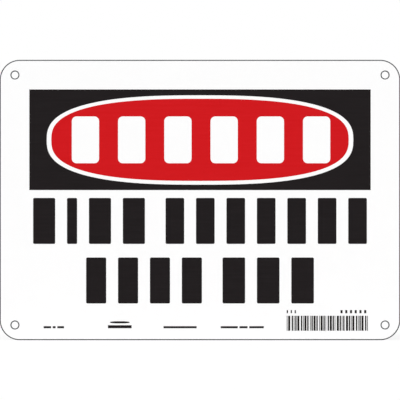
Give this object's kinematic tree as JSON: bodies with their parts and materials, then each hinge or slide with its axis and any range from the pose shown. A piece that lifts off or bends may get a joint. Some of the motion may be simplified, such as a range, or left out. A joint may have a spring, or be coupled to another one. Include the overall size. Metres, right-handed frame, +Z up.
{
  "type": "safety sign",
  "caption": "Flat rectangular safety sign: coated aluminium sheet with rounded corners, a screw hole near each corner, and a printed header panel over rows of plain marks.",
  "frame": {"origin": "centre of the flat back face, which lies in the plane y = 0", "axes": "+X to the right as the printed face is read, +Y out of the back towards the wall, +Z up; the printed face looks along -Y"},
  "size_m": [0.254, 0.0009, 0.1778],
  "materials": {
    "white_enamel": "smooth satin white coating",
    "black_ink": "screen-printed black ink",
    "red_ink": "screen-printed red ink",
    "bare_aluminium": "mill finish, bare at the back and the sheared edges"
  },
  "bodies": {
    "root": {"sign_plate": "white_enamel"}
  },
  "joints": []
}
